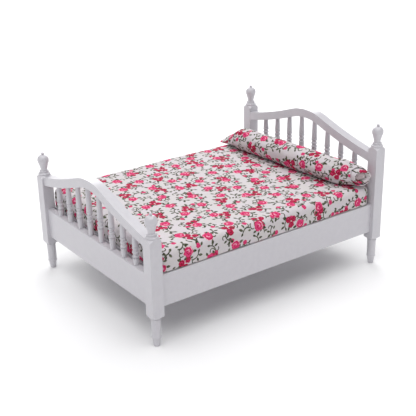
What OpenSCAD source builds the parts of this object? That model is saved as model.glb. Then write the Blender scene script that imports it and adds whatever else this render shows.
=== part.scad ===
// Twelfth-scale wooden double bed with four turned posts, arched spindle
// boards at the head and foot, a loose mattress and a loose rolled bolster.
// The origin is on the floor, under the middle of the bed. The head is at +Y.

/* [Plan] */
// Distance between the head and foot post centres
post_span_y = 170.5; // [160:0.5:180]
// Distance between the left and right post centres
post_span_x = 127.2; // [120:0.2:136]

/* [Posts] */
// Side of the square stock that the posts are turned from
post_side = 7.6; // [7.2:0.1:8.2]
// Height of a foot post, from the floor to the tip of its finial
foot_post_h = 81; // [79:0.5:84]
// Height of a head post, from the floor to the tip of its finial
head_post_h = 96.2; // [94:0.2:100]
// Height of the underside of the square block above the floor
block_bottom = 19; // [18:0.2:20]
// Radius of the finial's ball
ball_r = 3.65; // [3.3:0.05:3.75]
// Radius of the turned neck under the ball
neck_r = 2.1; // [1.8:0.1:2.4]
// Radius of the turned leg under the block
leg_r = 2.85; // [2.6:0.05:3]

/* [Rails] */
// Height of the underside of the lower rails above the floor
rail_bottom = 23.6; // [23:0.2:26]
// Height of the side rails' top face above the floor
side_rail_top = 43; // [41:0.5:45]
// Thickness of the side rails
side_rail_t = 3; // [2.6:0.1:3.6]
// Height of the foot board's lower rail top face above the floor
foot_panel_top = 43.2; // [41:0.2:45]
// Height of the head board's lower rail top face above the floor
head_panel_top = 59; // [57:0.2:60]
// Thickness of the two lower rails of the boards
panel_t = 4.4; // [4:0.1:5]
// How far the boards' middle plane is in from the post centres
board_shift = 0.5; // [0:0.1:0.6]
// Radius of the eased edges of the rails
edge_r = 0.5; // [0.3:0.1:0.7]

/* [Arched rails] */
// Height of the middle of the foot arch's section, at its crown
foot_crown = 77.9; // [77:0.1:78.5]
// Height of the middle of the head arch's section, at its crown
head_crown = 89.3; // [88:0.1:90]
// Depth of the arched rails, across the curve
arch_depth = 5.6; // [5.2:0.1:5.8]
// Thickness of the arched rails, front to back
arch_t = 6.2; // [5.4:0.1:6.4]
// Radius of the arch at its crown
crown_r = 40; // [36:1:44]
// Steepest slope of the arch, where the crown meets the flanks, in degrees
flank_slope = 20; // [18:0.5:21]
// Radius of the hollow curve of the flanks
flank_r = 300; // [280:10:340]

/* [Spindles] */
// Number of spindles in each board
spindle_count = 8; // [8]
// Distance from one spindle to the next
spindle_pitch = 12.9; // [12.6:0.1:13.3]
// Radius of a spindle's beads
bead_r = 2; // [1.9:0.05:2.2]
// Radius of a spindle where it goes into the arched rail
spindle_top_r = 1.5; // [1.3:0.1:1.6]
// Height of the middle bead, as a part of the spindle's clear height
bead_part = 0.39; // [0.36:0.01:0.44]
// Distance from one bead to the next
bead_pitch = 2.5; // [2.2:0.1:2.6]

/* [Base] */
// Thickness of the base board under the mattress
base_t = 2; // [1.5:0.1:2.5]
// Side of the square cleats that carry the base board
cleat_side = 4; // [3:0.5:5]

/* [Bedding] */
// Width of the mattress
mattress_w = 129; // [125:0.5:130]
// Length of the mattress
mattress_l = 161; // [158:0.5:161.5]
// Height of the mattress
mattress_h = 12.8; // [11:0.2:14]
// Radius of the mattress's top edges
mattress_edge_r = 4; // [3:0.5:5]
// Radius of the mattress's upright corners
mattress_corner_r = 4; // [3:0.5:6]
// Thickness of the fabric covers
cover_t = 0.4; // [0.3:0.05:0.5]
// Thickness of the stiff card in the bottom of the mattress
card_t = 1; // [0.6:0.1:1.5]
// Radius of the bolster
bolster_r = 8.4; // [8:0.1:8.6]
// How far the bolster's axis is from the bed's middle, towards the head
bolster_y = 66.3; // [64:0.1:67]
// Angle that the bolster lies out of square, in degrees
bolster_yaw = 3.5; // [2.5:0.5:4]

/* [Hidden] */
$fn = 64;
arch_fn = 360;

// Fits and clearances
rest_gap = 0.1;
bolster_gap = 0.2;
base_gap = 0.3;
tenon_l = 2.4;

// Posts
post_x = post_span_x / 2;
post_y = post_span_y / 2;
post_half = post_side / 2;
corner_r = post_half * sqrt(2);
clear_x = post_x - post_half;
clear_y = post_y - post_half;

// Distances down from the tip of a post
tip_r = 1;
tip_neck_r = 0.8;
ball_drop = 5.2;
waist_drop = 7;
neck_drop = 10.9;
neck_bead_drop = 12.5;
neck_bead_r = 2.9;
collar_drop = 14.2;
shoulder_drop = 14.9;
block_drop = 16.6;

// Heights of the leg's turnings above the floor
leg_bead_z = block_bottom - 1.9;
leg_bead_r = leg_r + 0.2;
ankle_z = 5.6;
ankle_r = leg_r + 0.12;
foot_r = 1.9;
bead_round = 0.7;

// Boards
board_y = post_y - board_shift;
side_tenon_t = 2;
board_tenon_t = 2.4;
tenon_shoulder = 2;

// Degrees by which the arch's crown runs into its flanks
arch_lap = 0.6;

// Arch, measured from the crown of the section's middle line
join_x = crown_r * sin(flank_slope);
join_drop = crown_r * (1 - cos(flank_slope));
flank_x = join_x + flank_r * sin(flank_slope);
flank_z = flank_r * cos(flank_slope) - join_drop;
flank_end = asin((flank_x - clear_x) / flank_r);
arch_end_drop = flank_r * cos(flank_end) - flank_z;

// Height of the arch's underside at x, from the middle line's crown
function arch_under(x) =
    abs(x) < (crown_r - arch_depth / 2) * sin(flank_slope)
    ? sqrt(pow(crown_r - arch_depth / 2, 2) - x * x) - crown_r
    : flank_z - sqrt(pow(flank_r + arch_depth / 2, 2) - pow(flank_x - abs(x), 2));

// Spindles
pin_l = 2.2;
pin_r = 1.1;
spindle_foot_r = 1.5;
function spindle_x(i) = (i - (spindle_count + 1) / 2) * spindle_pitch;

// Base
rail_inner_x = post_x - side_rail_t / 2;
base_w = 2 * (rail_inner_x - base_gap);
base_l = 2 * (clear_y - base_gap);
cleat_l = base_l - 6;

// Bedding
mattress_z = side_rail_top + rest_gap;
bolster_z = mattress_z + mattress_h + bolster_gap + bolster_r;
bolster_end_x = 62.5;
wadding_end_x = 57;
flap_x = -66;
flap_start_x = -46;
flap_t = 1;
flap_front_y = -4.5;
flap_back_y = 16.8;
flap_rise = 6.5;

// ---- Shared outlines ----

// A rectangle with eased corners, centred
module eased_rect(w, d, r = edge_r) {
    square([w - 2 * r, d], center = true);
    square([w, d - 2 * r], center = true);
    for (x = [-1, 1], y = [-1, 1])
        translate([x * (w / 2 - r), y * (d / 2 - r)]) circle(r);
}

// A bar along X with eased long edges: length, thickness in Y, height in Z
module bar_x(l, t, h) {
    rotate([90, 0, 90]) linear_extrude(l, center = true) eased_rect(t, h);
}

// A bar along Y with eased long edges: length, thickness in X, height in Z
module bar_y(l, t, h) {
    rotate([90, 0, 0]) linear_extrude(l, center = true) eased_rect(t, h);
}

// A stub tenon or its mortise, running in X from the clear width into a post
module tenon_x(side, t, low, high) {
    translate([side * (clear_x + tenon_l / 2), 0, (low + high) / 2])
        cube([tenon_l, t, high - low], center = true);
}

// A stub tenon or its mortise, running in Y from the clear length into a post
module tenon_y(side, t, low, high) {
    translate([0, side * (clear_y + tenon_l / 2), (low + high) / 2])
        cube([t, tenon_l, high - low], center = true);
}

// ---- Posts ----

// A half-round bead for a turned outline: outer radius r at height z
module bead(r, z, round = bead_round) {
    translate([r - round, z]) circle(round);
    translate([0, z - round]) square([r - round, 2 * round]);
}

// The turned shape of a post: its core from the floor to the tip, and its beads
module post_outline(top) {
    polygon([
        [0, 0], [foot_r - 0.3, 0], [foot_r, 0.4], [leg_r - 0.3, ankle_z - 0.9],
        [leg_r - 0.1, ankle_z], [leg_r, leg_bead_z - 1], [leg_r - 0.1, block_bottom - 0.8],
        [post_half * 0.9, block_bottom - 0.5], [corner_r + 0.1, block_bottom + 0.1],
        [corner_r + 0.1, top - block_drop], [post_half - 0.1, top - shoulder_drop],
        [post_half - 0.5, top - collar_drop + 0.4], [neck_bead_r - 0.4, top - neck_bead_drop - 0.2],
        [neck_r, top - neck_bead_drop + 0.4], [neck_r, top - neck_drop],
        [ball_r * 0.86, top - waist_drop], [tip_neck_r, top - ball_drop],
        [tip_neck_r, top - tip_r], [0, top - tip_r]
    ]);
    intersection() {
        union() {
            translate([0, top - tip_r]) circle(tip_r);
            translate([0, top - ball_drop]) circle(ball_r);
        }
        square([corner_r, top]);
    }
    bead(neck_bead_r, top - neck_bead_drop, 0.6);
    bead(post_half, top - collar_drop, 0.65);
    bead(ankle_r, ankle_z, 0.8);
    bead(leg_bead_r, leg_bead_z);
}

// One post before its mortises: x and y give its corner of the bed, top its height
module turned_post(x, y, top) {
    translate([x * post_x, y * post_y, 0]) intersection() {
        linear_extrude(top) eased_rect(post_side, post_side, 0.3);
        rotate_extrude() post_outline(top);
    }
}

// The mortises that the rails' tenons fill in one post
module mortises(x, y, panel_top, crown) {
    translate([x * post_x, 0, 0])
        tenon_y(y, side_tenon_t, rail_bottom + tenon_shoulder, side_rail_top - tenon_shoulder);
    translate([0, y * board_y, 0]) {
        tenon_x(x, board_tenon_t, rail_bottom + tenon_shoulder, panel_top - tenon_shoulder);
        arch_tenon(x, crown);
    }
}

module mortised_post(x, y, top, panel_top, crown) {
    color("white") difference() {
        turned_post(x, y, top);
        mortises(x, y, panel_top, crown);
    }
}

module head_post(x) {
    mortised_post(x, 1, head_post_h, head_panel_top, head_crown);
}

module foot_post(x) {
    mortised_post(x, -1, foot_post_h, foot_panel_top, foot_crown);
}

// ---- Rails ----

module side_rail(x) {
    color("white") translate([x * post_x, 0, 0]) {
        translate([0, 0, (rail_bottom + side_rail_top) / 2])
            bar_y(2 * clear_y, side_rail_t, side_rail_top - rail_bottom);
        for (y = [-1, 1])
            tenon_y(y, side_tenon_t, rail_bottom + tenon_shoulder, side_rail_top - tenon_shoulder);
    }
}

// The lower rail of a board, with its tenons and the spindles' holes
module lower_rail(y, panel_top) {
    color("white") translate([0, y * board_y, 0]) difference() {
        union() {
            translate([0, 0, (rail_bottom + panel_top) / 2])
                bar_x(2 * clear_x, panel_t, panel_top - rail_bottom);
            for (x = [-1, 1])
                tenon_x(x, board_tenon_t, rail_bottom + tenon_shoulder, panel_top - tenon_shoulder);
        }
        for (i = [1 : spindle_count])
            translate([spindle_x(i), 0, panel_top - pin_l]) cylinder(h = pin_l + 1, r = pin_r);
    }
}

// A stretch of the arched rail's band, about its centre, between two angles
module band(radius, from, to) {
    reach = 1.2 * radius;
    intersection() {
        difference() {
            circle(radius + arch_depth / 2, $fn = arch_fn);
            circle(radius - arch_depth / 2, $fn = arch_fn);
        }
        polygon([[0, 0], reach * [cos(from), sin(from)], reach * [cos(to), sin(to)]]);
    }
}

// The whole curved bar, its middle line's crown at the origin
module arch_bar() {
    rotate([90, 0, 0]) linear_extrude(arch_t, center = true) {
        translate([0, -crown_r])
            band(crown_r, 90 - flank_slope - arch_lap, 90 + flank_slope + arch_lap);
        for (side = [0, 1])
            mirror([side, 0])
                translate([flank_x, flank_z]) band(flank_r, 270 - flank_slope, 271 - flank_end);
    }
}

module arch_tenon(side, crown) {
    tenon_x(side, board_tenon_t, crown - arch_end_drop - 1.5, crown - arch_end_drop + 1.5);
}

module top_rail(y, crown) {
    color("white") translate([0, y * board_y, 0]) difference() {
        union() {
            intersection() {
                translate([0, 0, crown]) arch_bar();
                translate([-clear_x, -arch_t, crown - 30]) cube([2 * clear_x, 2 * arch_t, 40]);
            }
            for (x = [-1, 1])
                arch_tenon(x, crown);
        }
        for (i = [1 : spindle_count])
            translate([spindle_x(i), 0, crown + arch_under(spindle_x(i)) - 1.5])
                cylinder(h = pin_l + 1.5, r = spindle_top_r);
    }
}

// ---- Spindles ----

// One spindle from the lower rail's top to the arch's underside
module spindle(i, y, panel_top, crown) {
    arch = crown + arch_under(spindle_x(i));
    mid = panel_top + bead_part * (arch - panel_top);
    low = mid - bead_pitch * 1.4;
    high = mid + bead_pitch * 1.4;
    color("white") translate([spindle_x(i), y * board_y, 0]) rotate_extrude() {
        polygon([
            [0, panel_top - pin_l], [pin_r, panel_top - pin_l], [pin_r, panel_top],
            [spindle_foot_r, panel_top], [bead_r - 0.1, low], [bead_r - 0.5, low],
            [bead_r - 0.5, high], [bead_r - 0.15, high], [spindle_top_r, arch - 0.8],
            [spindle_top_r, arch + pin_l], [0, arch + pin_l]
        ]);
        for (k = [-1 : 1])
            bead(bead_r, mid + k * bead_pitch, 0.8);
    }
}

module head_spindle(i) {
    spindle(i, 1, head_panel_top, head_crown);
}

module foot_spindle(i) {
    spindle(i, -1, foot_panel_top, foot_crown);
}

// ---- Base ----

module cleat(x) {
    color("white") translate([
        x * (rail_inner_x - cleat_side / 2), 0, side_rail_top - base_t - cleat_side / 2
    ])
        cube([cleat_side, cleat_l, cleat_side], center = true);
}

module base_board() {
    color("white") translate([0, 0, side_rail_top - base_t / 2])
        cube([base_w, base_l, base_t], center = true);
}

// ---- Mattress ----

// A side view of the mattress with rounded top corners, inset all round by g
module mattress_side(w, g) {
    r = mattress_edge_r - g;
    half = w / 2 - g;
    top = mattress_h - g;
    translate([-half, g]) square([2 * half, top - r - g]);
    translate([r - half, g]) square([2 * (half - r), top - g]);
    for (x = [-1, 1])
        translate([x * (half - r), top - r]) circle(r);
}

// The mattress's body: its side view both ways and its rounded plan
module mattress_solid(g) {
    translate([0, 0, mattress_z]) intersection() {
        rotate([90, 0, 0]) linear_extrude(mattress_l, center = true) mattress_side(mattress_w, g);
        rotate([90, 0, 90]) linear_extrude(mattress_w, center = true) mattress_side(mattress_l, g);
        linear_extrude(mattress_h)
            eased_rect(mattress_w - 2 * g, mattress_l - 2 * g, mattress_corner_r - g);
    }
}

// A layer of the mattress's inside between two heights above its underside
module mattress_layer(low, high) {
    intersection() {
        mattress_solid(cover_t);
        translate([-mattress_w / 2, -mattress_l / 2, mattress_z + low])
            cube([mattress_w, mattress_l, high - low]);
    }
}

module mattress_cover() {
    color("pink") difference() {
        mattress_solid(0);
        mattress_solid(cover_t);
    }
}

module mattress_foam() {
    color("lightyellow") mattress_layer(cover_t + card_t, mattress_h);
}

module mattress_card() {
    color("tan") mattress_layer(0, cover_t + card_t);
}

// ---- Bolster ----

module place_bolster() {
    translate([0, bolster_y, bolster_z]) rotate([0, 0, bolster_yaw]) children();
}

// A round bar along X between two ends
module round_x(from, to, r) {
    translate([from, 0, 0]) rotate([0, 90, 0]) cylinder(h = to - from, r = r);
}

// The flattened end of the cover: it closes to a flat edge that rises to the back
module flap() {
    hull() {
        round_x(flap_start_x, flap_start_x + 0.5, bolster_r);
        translate([flap_x, flap_front_y, -bolster_r]) cube([1, 1, flap_t]);
        translate([flap_x, flap_back_y, flap_rise - bolster_r]) cube([1, 1, flap_t]);
    }
}

module bolster_cover() {
    color("pink") place_bolster() difference() {
        union() {
            round_x(flap_start_x, bolster_end_x, bolster_r);
            flap();
        }
        round_x(flap_start_x + 1, bolster_end_x + 1, bolster_r - cover_t);
    }
}

module bolster_wadding() {
    color("lightyellow") place_bolster()
        round_x(flap_start_x + 1, wadding_end_x, bolster_r - cover_t);
}

// ---- Nodes ----

head_post(-1);  // head_post_left
head_post(1);  // head_post_right
foot_post(-1);  // foot_post_left
foot_post(1);  // foot_post_right
top_rail(1, head_crown);  // head_top_rail
lower_rail(1, head_panel_top);  // head_lower_rail
top_rail(-1, foot_crown);  // foot_top_rail
lower_rail(-1, foot_panel_top);  // foot_lower_rail
for (i = [1 : spindle_count]) {
    head_spindle(i);
    foot_spindle(i);
}
side_rail(-1);  // side_rail_left
side_rail(1);  // side_rail_right
cleat(-1);  // cleat_left
cleat(1);  // cleat_right
base_board();
mattress_cover();
mattress_foam();
mattress_card();
bolster_cover();
bolster_wadding();
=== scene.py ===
"""Dolls house double bed: painted posts and spindle boards, a mattress and a bolster in rose-print cotton."""

import math

import bpy
import numpy as np
from mathutils import Matrix, Vector, noise


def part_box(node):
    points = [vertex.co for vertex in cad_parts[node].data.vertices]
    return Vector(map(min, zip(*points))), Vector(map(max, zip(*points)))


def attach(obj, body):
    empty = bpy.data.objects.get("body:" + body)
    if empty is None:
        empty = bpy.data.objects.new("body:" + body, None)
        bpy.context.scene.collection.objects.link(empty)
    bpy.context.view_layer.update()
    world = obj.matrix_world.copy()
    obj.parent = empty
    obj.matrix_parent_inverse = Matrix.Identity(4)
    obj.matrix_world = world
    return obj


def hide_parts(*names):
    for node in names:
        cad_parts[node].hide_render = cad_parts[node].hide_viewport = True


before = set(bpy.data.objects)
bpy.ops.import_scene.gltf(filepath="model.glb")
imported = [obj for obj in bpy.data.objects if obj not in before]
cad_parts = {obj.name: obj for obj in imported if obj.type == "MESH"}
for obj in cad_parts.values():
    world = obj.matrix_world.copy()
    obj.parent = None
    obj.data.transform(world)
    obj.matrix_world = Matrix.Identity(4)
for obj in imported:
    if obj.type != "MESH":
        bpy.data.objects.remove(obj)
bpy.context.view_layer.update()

MM = 0.001
TAU = 2 * math.pi
WHITE = (1.0, 1.0, 1.0, 1.0)
CLOTH_MAP = "cloth"
THREAD_PITCH = 0.42  # mm

# ---- Small helpers ----


def mm(value):
    """Millimetres to metres."""
    return value * MM


def smooth_step(low, high, x):
    """0 below low, 1 above high, and a smooth rise between."""
    t = np.clip((x - low) / (high - low), 0.0, 1.0)
    return t * t * (3.0 - 2.0 * t)


def new_object(name, verts, faces):
    """A smooth-shaded mesh object from lists of corners and faces."""
    mesh = bpy.data.meshes.new(name)
    mesh.from_pydata([tuple(v) for v in verts], [], faces)
    mesh.update()
    mesh.shade_smooth()
    obj = bpy.data.objects.new(name, mesh)
    bpy.context.scene.collection.objects.link(obj)
    return obj


def points_of(obj):
    """The mesh's corners as an array."""
    co = np.zeros(len(obj.data.vertices) * 3, np.float32)
    obj.data.vertices.foreach_get("co", co)
    return co.reshape(-1, 3).astype(float)


def set_points(obj, points):
    """Moves the mesh's corners."""
    obj.data.vertices.foreach_set("co", np.asarray(points, np.float32).ravel())
    obj.data.update()


def apply_modifiers(obj):
    """Replaces the mesh with what its modifiers make of it."""
    deps = bpy.context.evaluated_depsgraph_get()
    mesh = bpy.data.meshes.new_from_object(obj.evaluated_get(deps))
    obj.modifiers.clear()
    obj.data = mesh
    mesh.shade_smooth()


# ---- Node graphs ----


class Graph:
    """A material's node tree, written as expressions."""

    def __init__(self, tree):
        self.tree = tree

    def node(self, kind, inputs=None, **settings):
        made = self.tree.nodes.new(kind)
        for name, value in settings.items():
            setattr(made, name, value)
        for key, value in (inputs or {}).items():
            self.feed(made.inputs[key], value)
        return made

    def feed(self, socket, value):
        if isinstance(value, bpy.types.NodeSocket):
            self.tree.links.new(value, socket)
        else:
            socket.default_value = value

    def math(self, operation, a, b=0.0):
        made = self.node("ShaderNodeMath", {0: a, 1: b}, operation=operation)
        return made.outputs[0]

    def add(self, a, b):
        return self.math("ADD", a, b)

    def sub(self, a, b):
        return self.math("SUBTRACT", a, b)

    def mul(self, a, b):
        return self.math("MULTIPLY", a, b)

    def vector(self, operation, a, b=(0.0, 0.0, 0.0), scale=1.0):
        made = self.node("ShaderNodeVectorMath", {0: a, 1: b, 3: scale}, operation=operation)
        return made.outputs["Value" if operation == "LENGTH" else "Vector"]

    def ramp(self, value, low, high, start=0.0, end=1.0):
        """start below low, end above high, smooth between."""
        made = self.node(
            "ShaderNodeMapRange",
            {"Value": value, "From Min": low, "From Max": high, "To Min": start, "To Max": end},
            interpolation_type="SMOOTHSTEP",
        )
        return made.outputs["Result"]

    def mix(self, share, a, b):
        """Colour a where share is 0, b where it is 1."""
        made = self.node("ShaderNodeMix", {"Factor": share, "A": a, "B": b}, data_type="RGBA")
        return made.outputs["Result"]

    def turn(self, vector, angle):
        made = self.node("ShaderNodeVectorRotate", {"Vector": vector, "Angle": angle}, rotation_type="Z_AXIS")
        return made.outputs[0]

    def split(self, vector):
        made = self.node("ShaderNodeSeparateXYZ", {0: vector})
        return made.outputs[0], made.outputs[1], made.outputs[2]

    def join(self, x, y, z=0.0):
        return self.node("ShaderNodeCombineXYZ", {0: x, 1: y, 2: z}).outputs[0]

    def noise(self, vector, scale, detail=2.0, roughness=0.5):
        made = self.node(
            "ShaderNodeTexNoise",
            {"Vector": vector, "Scale": scale, "Detail": detail, "Roughness": roughness},
        )
        return made.outputs["Fac"]

    def bump(self, height, strength, distance):
        made = self.node("ShaderNodeBump", {"Height": height, "Strength": strength, "Distance": distance})
        return made.outputs["Normal"]


def new_material(name, **uniform):
    """A material, its graph and its Principled shader, with the uniform sockets set on the shader."""
    material = bpy.data.materials.new(name)
    material.use_nodes = True
    graph = Graph(material.node_tree)
    shader = material.node_tree.nodes["Principled BSDF"]
    for key, value in uniform.items():
        shader.inputs[key.replace("_", " ")].default_value = value
    return material, graph, shader


def place_mm(graph):
    """The object's own coordinates in millimetres."""
    coords = graph.node("ShaderNodeTexCoord").outputs["Object"]
    return graph.vector("SCALE", coords, scale=1.0 / MM)


# ---- Painted wood ----


def painted_wood(name, along):
    """Satin white paint over fine grain that runs along one axis: 0, 1 or 2."""
    material, g, shader = new_material(name, Specular_IOR_Level=0.5, Coat_Weight=0.35, Coat_Roughness=0.22)
    p = place_mm(g)
    stretch = [1.0, 1.0, 1.0]
    stretch[along] = 0.06
    grain_space = g.vector("MULTIPLY", p, tuple(stretch))
    grain = g.noise(grain_space, 2.4, 4.0, 0.6)
    brush = g.noise(p, 0.35, 3.0, 0.55)
    specks = g.noise(p, 6.0, 2.0, 0.5)
    base = g.mix(g.ramp(brush, 0.25, 0.75), (0.585, 0.572, 0.606, 1), (0.610, 0.597, 0.630, 1))
    dark_grain = g.mul(g.ramp(grain, 0.55, 0.75), 0.16)
    g.feed(shader.inputs["Base Color"], g.mix(dark_grain, base, (0.535, 0.518, 0.552, 1)))
    wear = g.add(g.mul(brush, 0.6), g.mul(specks, 0.4))
    g.feed(shader.inputs["Roughness"], g.ramp(wear, 0.35, 0.65, 0.30, 0.42))
    height = g.add(g.mul(grain, 0.6), g.mul(specks, 0.25))
    g.feed(shader.inputs["Normal"], g.bump(height, 0.35, mm(0.08)))
    return material


# ---- Rose-print cotton ----

GROUND = (0.650, 0.605, 0.632, 1)
GROUND_WARM = (0.630, 0.598, 0.594, 1)
GROUND_FLECK = (0.430, 0.395, 0.410, 1)
PINK = (0.700, 0.050, 0.185, 1)
PINK_PALE = (0.860, 0.520, 0.600, 1)
PINK_DEEP = (0.520, 0.014, 0.075, 1)
CRIMSON = (0.490, 0.013, 0.068, 1)
CRIMSON_DARK = (0.235, 0.004, 0.022, 1)
LEAF = (0.036, 0.042, 0.020, 1)
LEAF_PALE = (0.140, 0.150, 0.095, 1)


def scatter(g, cloth, cell, turn, shift, jitter):
    """Staggered square cells, each randomly shifted and turned: the place from its cell's middle, in mm."""
    moved = g.vector("ADD", cloth, shift)
    turned = g.turn(moved, turn)
    x, y, _ = g.split(g.vector("SCALE", turned, scale=1.0 / cell))
    row = g.math("FLOOR", y)
    x = g.add(x, g.mul(row, 0.5))
    column = g.math("FLOOR", x)
    draw = g.node("ShaderNodeTexWhiteNoise", {"Vector": g.join(column, row)}, noise_dimensions="3D")
    left, right, spin = g.split(draw.outputs["Color"])
    from_middle = g.join(g.sub(g.sub(x, column), 0.5), g.sub(g.sub(y, row), 0.5))
    push = g.join(g.sub(left, 0.5), g.sub(right, 0.5))
    in_cell = g.vector("SCALE", from_middle, scale=cell)
    offset = g.vector("SUBTRACT", in_cell, g.vector("SCALE", push, scale=jitter))
    return g.turn(offset, g.mul(spin, TAU))


def rose(g, at, x, y, radius, wobble, phase):
    """Masks of a rose: its whole shape, its darker petal folds and its pale petal edges."""
    moved = g.vector("SUBTRACT", at, (x, y, 0.0))
    px, py, _ = g.split(moved)
    distance = g.mul(g.vector("LENGTH", moved), 1.0 / radius)
    angle = g.math("ARCTAN2", py, px)
    lobes = g.mul(g.math("SINE", g.add(g.mul(angle, 5.0), phase)), 0.06)
    edge = g.add(g.add(1.0, lobes), wobble)
    shape = g.ramp(g.sub(distance, edge), -0.06, 0.04, 1.0, 0.0)
    outwards = g.mul(g.add(distance, wobble), 1.55)
    turn = g.math("FRACT", g.add(outwards, g.mul(g.add(angle, phase), -1.0 / TAU)))
    folds = g.ramp(turn, 0.60, 0.80)
    one_side = g.ramp(g.math("SINE", g.add(angle, phase)), -0.2, 0.7)
    pale = g.mul(g.ramp(g.math("ABSOLUTE", g.sub(turn, 0.22)), 0.08, 0.20, 1.0, 0.0), one_side)
    return shape, folds, pale


def leaf(g, at, x, y, angle, length, width):
    """Mask of a pointed leaf with its middle at x, y."""
    moved = g.vector("SUBTRACT", at, (x, y, 0.0))
    turned = g.turn(moved, -angle)
    along, across, _ = g.split(turned)
    share = g.mul(along, 2.0 / length)
    half = g.mul(g.sub(1.0, g.mul(share, share)), width * 0.6)
    return g.ramp(g.sub(g.math("ABSOLUTE", across), half), -0.14, 0.06, 1.0, 0.0)


def curl(g, at, x, y, radius, start, sweep, width):
    """Mask of a stem along part of a circle."""
    moved = g.vector("SUBTRACT", at, (x, y, 0.0))
    px, py, _ = g.split(moved)
    angle = g.math("ARCTAN2", py, px)
    turned = g.math("FRACT", g.mul(g.sub(angle, start), 1.0 / TAU))
    off = g.math("ABSOLUTE", g.sub(g.vector("LENGTH", moved), radius))
    ring = g.ramp(off, width * 0.4, width * 0.85, 1.0, 0.0)
    return g.mul(ring, g.math("LESS_THAN", turned, sweep / TAU))


def strongest(g, masks):
    total = masks[0]
    for mask in masks[1:]:
        total = g.math("MAXIMUM", total, mask)
    return total


def sprigs(g, cloth, _wobble, under, leaf_colour):
    """Curled stems and small leaves, the lowest layer of the print."""
    at = scatter(g, cloth, 10.5, 0.30, (2.0, 7.0, 0.0), 1.4)
    green = strongest(g, [
        curl(g, at, 0.0, -3.2, 3.8, 0.5, 2.2, 0.55),
        curl(g, at, 3.0, 0.9, 1.2, 3.6, 4.4, 0.50),
        leaf(g, at, -2.2, 1.9, 2.2, 3.2, 1.35),
        leaf(g, at, -3.3, -0.8, 0.5, 2.7, 1.2),
        leaf(g, at, 0.8, 2.3, 1.2, 2.8, 1.2),
        leaf(g, at, 2.2, -2.2, -0.6, 2.4, 1.1),
    ])
    return g.mix(green, under, leaf_colour)


def buds(g, cloth, wobble, under, leaf_colour):
    """Small pink buds, each on a short stem between two leaves."""
    at = scatter(g, cloth, 12.5, 1.02, (31.0, 5.0, 0.0), 4.0)
    green = strongest(g, [
        curl(g, at, -2.6, -1.4, 2.6, 5.6, 1.4, 0.50),
        leaf(g, at, -1.9, 0.2, 0.9, 2.8, 1.15),
        leaf(g, at, 1.0, -2.4, -0.5, 2.6, 1.05),
    ])
    colour = g.mix(green, under, leaf_colour)
    shape, folds, _ = rose(g, at, 0.4, 0.9, 1.45, wobble, 0.7)
    return g.mix(shape, colour, g.mix(folds, PINK, CRIMSON))


def crimson_clusters(g, cloth, wobble, under, leaf_colour):
    """Three crimson roses that touch, with two leaves."""
    at = scatter(g, cloth, 20.5, 0.62, (12.0, 44.0, 0.0), 4.6)
    green = strongest(g, [
        leaf(g, at, 3.7, 2.5, 0.7, 3.6, 1.5),
        leaf(g, at, -3.5, 2.7, 2.4, 3.4, 1.4),
        curl(g, at, 0.8, -4.6, 2.6, 3.4, 1.9, 0.55),
    ])
    colour = g.mix(green, under, leaf_colour)
    for x, y, radius, phase in ((-2.15, 0.2, 2.15, 0.4), (2.15, 0.8, 2.0, 2.0), (0.1, -2.9, 1.95, 4.0)):
        shape, folds, pale = rose(g, at, x, y, radius, wobble, phase)
        petals = g.mix(folds, CRIMSON, CRIMSON_DARK)
        colour = g.mix(shape, colour, g.mix(g.mul(pale, 0.75), petals, PINK))
    return colour


def pink_roses(g, cloth, wobble, under, leaf_colour):
    """Single large pink roses with leaves around them."""
    at = scatter(g, cloth, 16.2, 0.16, (50.0, 19.0, 0.0), 3.6)
    green = strongest(g, [
        leaf(g, at, 3.6, 2.1, 0.55, 3.4, 1.5),
        leaf(g, at, -3.2, 2.8, 2.2, 3.2, 1.4),
        leaf(g, at, 0.4, -4.1, 1.35, 2.8, 1.3),
        curl(g, at, -3.4, -3.0, 1.5, 2.6, 3.6, 0.52),
    ])
    colour = g.mix(green, under, leaf_colour)
    shape, folds, pale = rose(g, at, 0.0, 0.0, 3.1, wobble, 0.0)
    petals = g.mix(folds, PINK, PINK_DEEP)
    return g.mix(shape, colour, g.mix(g.mul(pale, 0.85), petals, PINK_PALE))


def print_cotton():
    """Fine plain-weave cotton with a scattered rose print, laid by the piece's own cloth map in metres."""
    soft = {"Roughness": 0.9, "Specular_IOR_Level": 0.08, "Sheen_Weight": 0.03}
    material, g, shader = new_material("printed_cotton", **soft)
    raw = g.node("ShaderNodeUVMap", uv_map=CLOTH_MAP).outputs["UV"]
    cloth = g.vector("SCALE", raw, scale=1.0 / MM)
    wobble = g.mul(g.sub(g.noise(cloth, 0.75, 2.0), 0.5), 0.65)
    shade = g.noise(cloth, 0.6, 2.0)
    leaf_colour = g.mix(g.ramp(shade, 0.40, 0.66), LEAF, LEAF_PALE)
    colour = g.mix(g.ramp(g.noise(cloth, 0.12, 2.0), 0.35, 0.65), GROUND, GROUND_WARM)
    colour = g.mix(g.mul(g.ramp(g.noise(cloth, 1.3, 2.0), 0.55, 0.72), 0.30), colour, GROUND_FLECK)
    for layer in (sprigs, buds, crimson_clusters, pink_roses):
        colour = layer(g, cloth, wobble, colour, leaf_colour)
    x, y, _ = g.split(cloth)
    warp = g.math("SINE", g.mul(x, TAU / THREAD_PITCH))
    weft = g.math("SINE", g.mul(y, TAU / THREAD_PITCH))
    weave = g.add(g.mul(g.mul(warp, weft), 0.5), 0.5)
    # Painted shade: the colour darkens by up to a tenth towards grey in the low hollows between the crossing
    # threads
    weave_valley_shade = g.mix(g.mul(g.ramp(weave, 0.0, 0.5, 1.0, 0.0), 0.10), colour, (0.45, 0.42, 0.43, 1))
    slubs = g.noise(g.vector("MULTIPLY", cloth, (0.35, 3.0, 1.0)), 1.6, 2.0)
    g.feed(shader.inputs["Base Color"], g.mix(g.mul(g.ramp(slubs, 0.6, 0.8), 0.08), weave_valley_shade, WHITE))
    g.feed(shader.inputs["Normal"], g.bump(g.add(weave, g.mul(slubs, 0.6)), 0.35, mm(0.06)))
    return material


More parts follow.
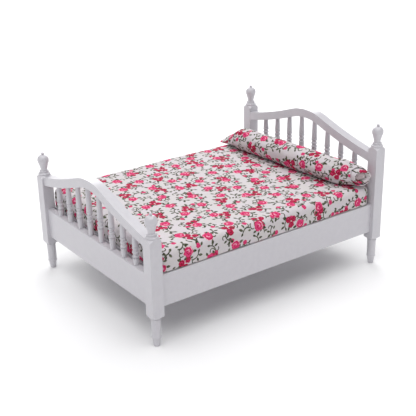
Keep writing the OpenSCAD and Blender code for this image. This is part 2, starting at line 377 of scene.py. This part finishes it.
def soft_filling(name, low, high, lumps):
    """Foam or wadding: two close tones and a pitted or tufted surface."""
    material, g, shader = new_material(name, Roughness=0.95, Specular_IOR_Level=0.1, Sheen_Weight=0.2)
    p = place_mm(g)
    cells = g.node("ShaderNodeTexVoronoi", {"Vector": p, "Scale": lumps}).outputs["Distance"]
    tufts = g.noise(p, lumps * 0.6, 4.0, 0.6)
    g.feed(shader.inputs["Base Color"], g.mix(g.ramp(tufts, 0.35, 0.65), low, high))
    g.feed(shader.inputs["Normal"], g.bump(g.add(cells, tufts), 0.7, mm(0.3)))
    return material


def card():
    """Grey pulp card with faint fibres."""
    material, g, shader = new_material("card_pulp", Roughness=0.88, Specular_IOR_Level=0.15)
    p = place_mm(g)
    fibres = g.noise(g.vector("MULTIPLY", p, (0.5, 1.0, 1.0)), 2.5, 4.0, 0.65)
    pulp = g.mix(g.ramp(fibres, 0.35, 0.65), (0.33, 0.30, 0.27, 1), (0.43, 0.40, 0.36, 1))
    g.feed(shader.inputs["Base Color"], pulp)
    g.feed(shader.inputs["Normal"], g.bump(fibres, 0.4, mm(0.1)))
    return material


# ---- Soft goods ----

SIM_SCALE = 10.0  # the miniature is simulated at this many times its size, where the cloth solver is steady


def lay_cloth_map(obj, corner_points):
    """Writes where each face corner lies on the flat cloth, in metres."""
    layer = obj.data.uv_layers.new(name=CLOTH_MAP)
    layer.data.foreach_set("uv", np.asarray(corner_points, np.float32).ravel())


def puff(obj, pressure, growth, most, frames=20, pinned=None):
    """Blows the piece up by cloth simulation, scaled so that its farthest point moves by most."""
    scene = bpy.context.scene
    base = points_of(obj)
    copy = bpy.data.objects.new(obj.name + "_sim", obj.data.copy())
    scene.collection.objects.link(copy)
    set_points(copy, base * SIM_SCALE)
    modifier = copy.modifiers.new("cloth", "CLOTH")
    settings = modifier.settings
    settings.quality = 6
    settings.mass = 0.3
    settings.tension_stiffness = 18
    settings.compression_stiffness = 18
    settings.shear_stiffness = 6
    settings.bending_stiffness = 0.8
    settings.air_damping = 4
    settings.use_pressure = True
    settings.uniform_pressure_force = pressure
    settings.shrink_min = -growth
    settings.effector_weights.gravity = 0
    if pinned is not None:
        group = copy.vertex_groups.new(name="pinned")
        group.add([int(i) for i in pinned], 1.0, "REPLACE")
        settings.vertex_group_mass = "pinned"
    for frame_number in range(1, frames + 1):
        scene.frame_set(frame_number)
    result = copy.evaluated_get(bpy.context.evaluated_depsgraph_get())
    moved = np.zeros(len(base) * 3, np.float32)
    result.data.vertices.foreach_get("co", moved)
    shift = moved.reshape(-1, 3).astype(float) / SIM_SCALE - base
    farthest = np.linalg.norm(shift, axis=1).max()
    set_points(obj, base + shift * min(1.0, most / farthest))
    scene.frame_set(1)
    bpy.data.objects.remove(copy)


def stops(low, high, edge, fine, coarse):
    """Places from low to high: fine steps within edge of both ends, coarse ones between."""
    rim = np.linspace(0, edge, max(2, round(edge / fine) + 1))
    middle = np.linspace(low + edge, high - edge, max(2, round((high - low - 2 * edge) / coarse) + 1))
    return np.concatenate([low + rim[:-1], middle, (high - rim[:-1])[::-1]])


def box_lattice(xs, ys, zs):
    """Surface points of a box on a lattice, its quads, and for each quad the axis and side that it faces."""
    counts = (len(xs), len(ys), len(zs))
    index, points, quads, sides = {}, [], [], []

    def point(key):
        if key not in index:
            index[key] = len(points)
            points.append((xs[key[0]], ys[key[1]], zs[key[2]]))
        return index[key]

    for axis in range(3):
        one, two = [a for a in range(3) if a != axis]
        for side in (0, 1):
            for i in range(counts[one] - 1):
                for j in range(counts[two] - 1):
                    corners = [(i, j), (i + 1, j), (i + 1, j + 1), (i, j + 1)]
                    if (side == 0) != (axis == 1):
                        corners.reverse()
                    quad = []
                    for a, b in corners:
                        key = [0, 0, 0]
                        key[axis] = side * (counts[axis] - 1)
                        key[one], key[two] = a, b
                        quad.append(point(tuple(key)))
                    quads.append(quad)
                    sides.append((axis, side))
    return np.array(points), quads, sides


def round_box(points, half_x, half_y, low, high, corner, top_edge, bottom_edge):
    """Moves a box's surface points onto the same box with round upright corners, top and bottom edges."""
    x, y, z = points.T
    ax, ay = np.abs(x), np.abs(y)
    inset = np.minimum(half_x - ax, half_y - ay)
    for edge, face, way in ((top_edge, high, 1.0), (bottom_edge, low, -1.0)):
        out = edge - inset
        up = edge - (face - z) * way
        near = (out > 0) & (up > 0)
        scale = np.where(near, np.maximum(out, up) / np.maximum(np.hypot(out, up), 1e-9), 1.0)
        z = np.where(near, face - way * (edge - up * scale), z)
        new_inset = np.where(near, edge - out * scale, inset)
        ax, ay = (
            np.where(near & (half - a <= inset + 1e-9), half - new_inset, np.minimum(a, half - new_inset))
            for half, a in ((half_x, ax), (half_y, ay))
        )
        inset = new_inset
    dx, dy = ax - (half_x - corner), ay - (half_y - corner)
    turn = (dx > 0) & (dy > 0)
    scale = np.where(turn, np.maximum(dx, dy) / np.maximum(np.hypot(dx, dy), 1e-9), 1.0)
    ax = np.where(turn, half_x - corner + dx * scale, ax)
    ay = np.where(turn, half_y - corner + dy * scale, ay)
    return np.stack([np.sign(x) * ax, np.sign(y) * ay, z], axis=1)


def soft_slab(name, box, corner, top_edge, bottom_edge, fine, coarse):
    """A box-shaped pad with round edges, as an object, with its cloth map folded down over the four sides."""
    (low, high) = box
    middle = (low + high) / 2
    half = (high - low) / 2
    edge = max(top_edge, corner)
    xs = stops(-half[0], half[0], edge, fine, coarse)
    ys = stops(-half[1], half[1], edge, fine, coarse)
    zs = stops(low[2], high[2], min(top_edge, half[2] * 0.9), fine, coarse)
    raw, quads, sides = box_lattice(xs, ys, zs)
    points = round_box(raw, half[0], half[1], low[2], high[2], corner, top_edge, bottom_edge)
    obj = new_object(name, points + np.array([middle[0], middle[1], 0]), quads)
    fold = 2 * top_edge * (1 - math.sqrt(0.5))
    flat = []
    for quad, (axis, _) in zip(quads, sides):
        for corner_index in quad:
            u, v, z = points[corner_index]
            drop = high[2] - z - fold
            if axis == 0:
                u = math.copysign(half[0] + drop, u)
            elif axis == 1:
                v = math.copysign(half[1] + drop, v)
            flat.append((u, v))
    lay_cloth_map(obj, flat)
    return obj


def node_box(node):
    low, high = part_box(node)
    return np.array(low), np.array(high)


def ripple(obj, size, height, seed):
    """Low swells in the surface, along its normals."""
    points = points_of(obj)
    normals = np.array([v.normal for v in obj.data.vertices])
    lift = np.array([noise.noise(Vector(p) / size + Vector((seed, 0, 0))) for p in points])
    set_points(obj, points + normals * (lift * height)[:, None])


def subdivide(obj):
    """One level of subdivision, applied."""
    modifier = obj.modifiers.new("subdivision", "SUBSURF")
    modifier.levels = 1
    modifier.render_levels = 1
    apply_modifiers(obj)


def add_mattress(cotton):
    box = node_box("mattress_cover")
    obj = soft_slab("mattress", box, mm(4.0), mm(4.0), mm(0.9), mm(1.0), mm(2.2))
    puff(obj, 3.0, 0.01, mm(0.7))
    points = points_of(obj)
    points[:, 2] = np.maximum(points[:, 2], box[0][2])
    set_points(obj, points)
    ripple(obj, mm(30), mm(0.35), 3.0)
    subdivide(obj)
    obj.data.materials.append(cotton)
    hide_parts("mattress_cover")
    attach(obj, "mattress")


def add_foam(material):
    low, high = node_box("mattress_foam")
    inset = np.array([mm(0.5), mm(0.5), 0.0])
    box = (low + inset, high - inset - np.array([0, 0, mm(0.6)]))
    obj = soft_slab("foam_block", box, mm(3), mm(3), mm(0.6), mm(1.5), mm(6))
    obj.data.materials.append(material)
    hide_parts("mattress_foam")
    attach(obj, "mattress")


END_R = 0.0060  # radius of the outer wrap at the rolled end
END_LENGTH = 0.015  # stretch over which that end draws in and leans
END_SLOPE = math.tan(math.radians(25))
END_BEND = 0.0042  # how far that end bends to the head
END_LIFT = 0.0002  # the inner roll's middle above the outer wrap's
AXIS_SKEW = 0.035  # slope of the bolster's axis across the bed
SIT = 0.90  # height of the axis above the mattress, as a share of the radius
FLAP_TILT = math.radians(17.5)
ROUND = 72  # points around the bolster


class Roll:
    """The bolster's driving sizes, from its CAD cover and wadding."""

    def __init__(self):
        low, high = node_box("bolster_cover")
        core_low, core_high = node_box("bolster_wadding")
        self.left = low[0]
        self.right = high[0] - mm(0.6)
        self.rest = low[2]
        self.radius = (high[2] - low[2]) / 2
        self.middle = (core_low + core_high) / 2
        self.round_from = self.left + mm(25)

    def axis_y(self, x):
        """Place of the bolster's middle along the bed: it lies askew, and its right end bends to the head."""
        bend = END_BEND * smooth_step(mm(36), self.right, x)
        return self.middle[1] - mm(0.6) + (x - self.middle[0]) * AXIS_SKEW + bend

    def slant(self, x, y):
        """How far the rolled end's outline leans along x, so that it faces the bed's open side."""
        share = smooth_step(self.right - END_LENGTH, self.right, x)
        return share * END_SLOPE * (y - self.axis_y(x))

    def folds(self, x, angles):
        """How far the skin stands out, as a share of its radius: folds that fan out from the flat end and run
        up to the rolled one."""
        near_left = 1 - smooth_step(self.left + mm(12), self.left + mm(48), x)
        start = smooth_step(self.right - mm(20), self.right - mm(6), x)
        near_right = start * (1 - 0.75 * smooth_step(self.right - mm(5), self.right, x))
        fan = np.sin(6 * angles + 2.2 * math.sin(x / mm(8)))
        crease = 0.62 - np.abs(np.sin(4.5 * angles - x / mm(7.0))) ** 0.6
        return 1 + 0.034 * near_left * fan - 0.26 * near_right * crease

    def row(self, x, angles):
        """One outline of the skin: flat and tilted at the left, then round, and drawn in at the right."""
        flat = 1.0 - smooth_step(self.left, self.round_from, x)
        drawn_in = smooth_step(self.right - END_LENGTH, self.right, x)
        radius = self.radius - (self.radius - END_R) * drawn_in
        half_width = radius * (1 + 0.27 * flat)
        half_height = radius * (0.97 - 0.885 * flat**1.1)
        power = 2.0 + 0.6 * flat
        c, s = np.cos(angles), np.sin(angles)
        folds = self.folds(x, angles)
        y = half_width * np.sign(c) * np.abs(c) ** (2 / power) * folds
        z = half_height * np.sign(s) * np.abs(s) ** (2 / power) * folds
        tilt = FLAP_TILT * flat
        low_y = y * math.cos(tilt) - z * math.sin(tilt)
        low_z = y * math.sin(tilt) + z * math.cos(tilt)
        centre_y = self.axis_y(x) + mm(6.2) * flat
        centre_z = self.rest + self.radius * SIT * (1 - flat) + mm(3.9) * flat
        lean = mm(1.6) * flat * y / half_width
        skin_y = centre_y + low_y
        skin_z = np.maximum(centre_z + low_z, self.rest)
        return np.stack([x + lean + self.slant(x, skin_y), skin_y, skin_z], axis=1)


def rolled_end(roll, last, angles):
    """Rings from the skin's last outline round the wrap's lip, along the inner roll and into its hollow."""
    centre = last.mean(axis=0)
    spoke = last - centre
    flare = mm(1.8) * np.clip(-np.sin(angles - 0.3), 0, 1) ** 1.5 - mm(2.4) * np.clip(np.sin(angles), 0, 1)
    rings, along = [], []
    lip = ((0.99, 0.35), (0.96, 0.55), (0.925, 0.35), (0.90, -0.50), (0.87, -2.00))
    for share, out in lip:
        ring = centre + spoke * share
        ring[:, 0] += mm(out) + flare
        rings.append(ring)
        along.append(roll.right + roll.radius * (1 - share))
    inner = (
        (5.2, 4.7, -4.0), (5.2, 4.6, 0.2), (5.15, 4.45, 1.6), (5.0, 4.25, 2.3), (4.65, 3.8, 2.6),
        (4.2, 3.2, 2.4), (3.85, 2.8, 1.6), (3.65, 2.6, 0.4), (3.6, 2.55, -1.5), (3.5, 2.5, -5.0)
    )
    edge_step = mm(0.5) * (1 - angles / TAU)
    for half_width, half_height, out in inner:
        y = mm(half_width) * np.cos(angles)
        ring = np.stack([
            centre[0] + mm(out) + edge_step + END_SLOPE * y,
            centre[1] + y,
            centre[2] + END_LIFT + mm(half_height) * np.sin(angles),
        ], axis=1)
        rings.append(ring)
        along.append(along[-1] + mm(0.8))
    return rings, along, flare


def tube_mesh(name, rows, along, girth):
    """A tube through rows of points, closed at its first row, with its cloth map unrolled."""
    around = len(rows[0])
    step = girth / around
    quads, flat = [], []
    for i in range(len(rows) - 1):
        for j in range(around):
            k = (j + 1) % around
            quads.append([(i + 1) * around + j, (i + 1) * around + k, i * around + k, i * around + j])
            near, far = along[i], along[i + 1]
            flat += [(far, j * step), (far, (j + 1) * step), (near, (j + 1) * step), (near, j * step)]
    quads.append(list(range(around)))
    flat += [(along[0], j * step) for j in range(around)]
    obj = new_object(name, np.concatenate(rows), quads)
    lay_cloth_map(obj, flat)
    return obj


def add_bolster(cotton, roll):
    """The roll: a flattened end at the left, a round body and a rolled end with a hollow at the right."""
    angles = np.linspace(0, TAU, ROUND, endpoint=False)
    flat_xs = np.linspace(roll.left, roll.round_from, 18)[:-1]
    xs = np.concatenate([flat_xs, np.linspace(roll.round_from, roll.right, 60)])
    rows = [roll.row(x, angles) for x in xs]
    rings, ring_along, flare = rolled_end(roll, rows[-1], angles)
    for i, share in ((-1, 1.0), (-2, 0.55), (-3, 0.2)):
        rows[i][:, 0] += flare * share
    obj = tube_mesh("bolster", rows + rings, list(xs) + ring_along, TAU * roll.radius)
    puff(obj, 1.5, 0.04, mm(0.9), pinned=range((len(rows) - 2) * ROUND, len(obj.data.vertices)))
    ripple(obj, mm(14), mm(0.45), 9.0)
    ripple(obj, mm(5), mm(0.14), 5.0)
    points = points_of(obj)
    points[:, 2] = np.maximum(points[:, 2], roll.rest)
    set_points(obj, points)
    subdivide(obj)
    obj.data.materials.append(cotton)
    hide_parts("bolster_cover")
    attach(obj, "bolster")


def add_wadding(material, roll):
    """The filling: a soft rod inside the roll, with a lumpy domed end that shows in the hollow."""
    angles = np.linspace(0, TAU, 40, endpoint=False)
    left, right = roll.left + mm(17), roll.right + mm(0.9)
    thick, dome = mm(2.5), mm(0.9)
    stations = [(x, thick) for x in np.linspace(left + dome, right - dome, 40)]
    turns = np.linspace(0.1, 1, 7)
    cap = [(math.sin(t * TAU / 4), thick * max(0.02, math.cos(t * TAU / 4))) for t in turns]
    head = [(right - dome + dome * out, r) for out, r in cap]
    tail = [(left + dome - dome * out, r) for out, r in cap]
    rows, along = [], []
    for x, r in tail[::-1] + stations + head:
        ring_y = roll.axis_y(x) + 1.4 * r * np.cos(angles)
        ring_z = roll.rest + roll.radius * SIT + END_LIFT + r * np.sin(angles)
        rows.append(np.stack([x + roll.slant(x, ring_y), ring_y, ring_z], axis=1))
        along.append(x)
    obj = tube_mesh("bolster_filling", rows, along, TAU * thick)
    ripple(obj, mm(2.2), mm(0.5), 1.0)
    obj.data.materials.append(material)
    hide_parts("bolster_wadding")
    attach(obj, "bolster")


# ---- Camera, light and floor ----

VIEW_FROM = Vector((0.42228, -0.30661, 0.25663))
VIEW_AZIMUTH = math.radians(54.184)
VIEW_ELEVATION = math.radians(22.465)
VIEW_ROLL = math.radians(-1.21)
LENS = 74.8


def add_camera():
    data = bpy.data.cameras.new("camera")
    data.lens = LENS
    data.sensor_width = 36.0
    data.clip_start = 0.01
    camera = bpy.data.objects.new("camera", data)
    back = Vector((
        math.sin(VIEW_AZIMUTH) * math.cos(VIEW_ELEVATION),
        -math.cos(VIEW_AZIMUTH) * math.cos(VIEW_ELEVATION),
        math.sin(VIEW_ELEVATION),
    ))
    right = Vector((0, 0, 1)).cross(back).normalized()
    up = back.cross(right)
    turned_right = right * math.cos(VIEW_ROLL) + up * math.sin(VIEW_ROLL)
    turned_up = up * math.cos(VIEW_ROLL) - right * math.sin(VIEW_ROLL)
    turned = Matrix((turned_right, turned_up, back)).transposed()
    camera.matrix_world = Matrix.Translation(VIEW_FROM) @ turned.to_4x4()
    bpy.context.scene.collection.objects.link(camera)
    bpy.context.scene.camera = camera


def add_sun(name, towards, strength, spread):
    """A lamp so far away that it lights the floor evenly, as wide in the sky as spread, in degrees."""
    data = bpy.data.lights.new(name, "SUN")
    data.energy = strength
    data.angle = math.radians(spread)
    lamp = bpy.data.objects.new(name, data)
    lamp.rotation_euler = Vector(towards).to_track_quat("-Z", "Y").to_euler()
    bpy.context.scene.collection.objects.link(lamp)


def add_softbox(name, at, target, size, power):
    """A round soft lamp that faces a point."""
    data = bpy.data.lights.new(name, "AREA")
    data.shape = "DISK"
    data.size = size
    data.energy = power
    lamp = bpy.data.objects.new(name, data)
    lamp.location = at
    lamp.rotation_euler = (Vector(target) - Vector(at)).to_track_quat("-Z", "Y").to_euler()
    bpy.context.scene.collection.objects.link(lamp)


def add_studio():
    scene = bpy.context.scene
    scene.view_settings.view_transform = "Standard"
    world = bpy.data.worlds.new("studio")
    world.use_nodes = True
    background = world.node_tree.nodes["Background"]
    background.inputs["Color"].default_value = (0.97, 0.96, 1.0, 1)
    background.inputs["Strength"].default_value = 0.32
    scene.world = world
    add_sun("overhead", (-0.02, 0.04, -1.0), 2.42, 80)
    add_sun("front", (-0.30, 0.80, -0.50), 0.14, 40)
    add_softbox("back", (-0.95, 0.65, 0.48), (0, 0, 0.06), 0.9, 6.5)


def add_floor():
    material, g, shader = new_material("floor_paper", Roughness=0.9, Specular_IOR_Level=0.1)
    p = place_mm(g)
    mottle = g.noise(p, 0.01, 3.0)
    g.feed(shader.inputs["Base Color"], g.mix(mottle, (0.925, 0.925, 0.925, 1), (0.945, 0.945, 0.945, 1)))
    reach = 6.0
    corners = [(-reach, -reach, 0), (reach, -reach, 0), (reach, reach, 0), (-reach, reach, 0)]
    floor = new_object("floor", corners, [(0, 1, 2, 3)])
    floor.data.materials.append(material)


# ---- Carried-over wood ----


def dress(node, material):
    """Puts one material on every slot of a CAD node."""
    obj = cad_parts[node]
    for slot in obj.material_slots:
        slot.material = material
    if not obj.material_slots:
        obj.data.materials.append(material)


def dress_wood():
    upright = painted_wood("paint_upright", 2)
    crosswise = painted_wood("paint_crosswise", 0)
    lengthwise = painted_wood("paint_lengthwise", 1)
    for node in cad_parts:
        if "post" in node or "spindle" in node:
            dress(node, upright)
        elif node.startswith("side_rail"):
            dress(node, lengthwise)
        elif node.endswith("rail"):
            dress(node, crosswise)
        elif node in ("cleat_left", "cleat_right", "base_board"):
            dress(node, lengthwise)


def soften(node, width):
    """Eases the sharp edges of a CAD node's shown copy."""
    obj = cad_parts[node]
    flat = obj.modifiers.new("flats", "DECIMATE")
    flat.decimate_type = "DISSOLVE"
    flat.angle_limit = math.radians(0.5)
    ease = obj.modifiers.new("ease", "BEVEL")
    ease.width = width
    ease.segments = 3
    ease.limit_method = "ANGLE"
    ease.angle_limit = math.radians(40)
    ease.use_clamp_overlap = False


add_camera()
add_studio()
add_floor()
dress_wood()
for arch in ("head_top_rail", "foot_top_rail"):
    soften(arch, mm(0.5))
cotton = print_cotton()
add_mattress(cotton)
add_foam(soft_filling("foam_cells", (0.80, 0.74, 0.55, 1), (0.88, 0.83, 0.66, 1), 2.0))
dress("mattress_card", card())
roll = Roll()
add_bolster(cotton, roll)
add_wadding(soft_filling("wadding_tufts", (0.42, 0.34, 0.35, 1), (0.60, 0.52, 0.53, 1), 1.2), roll)
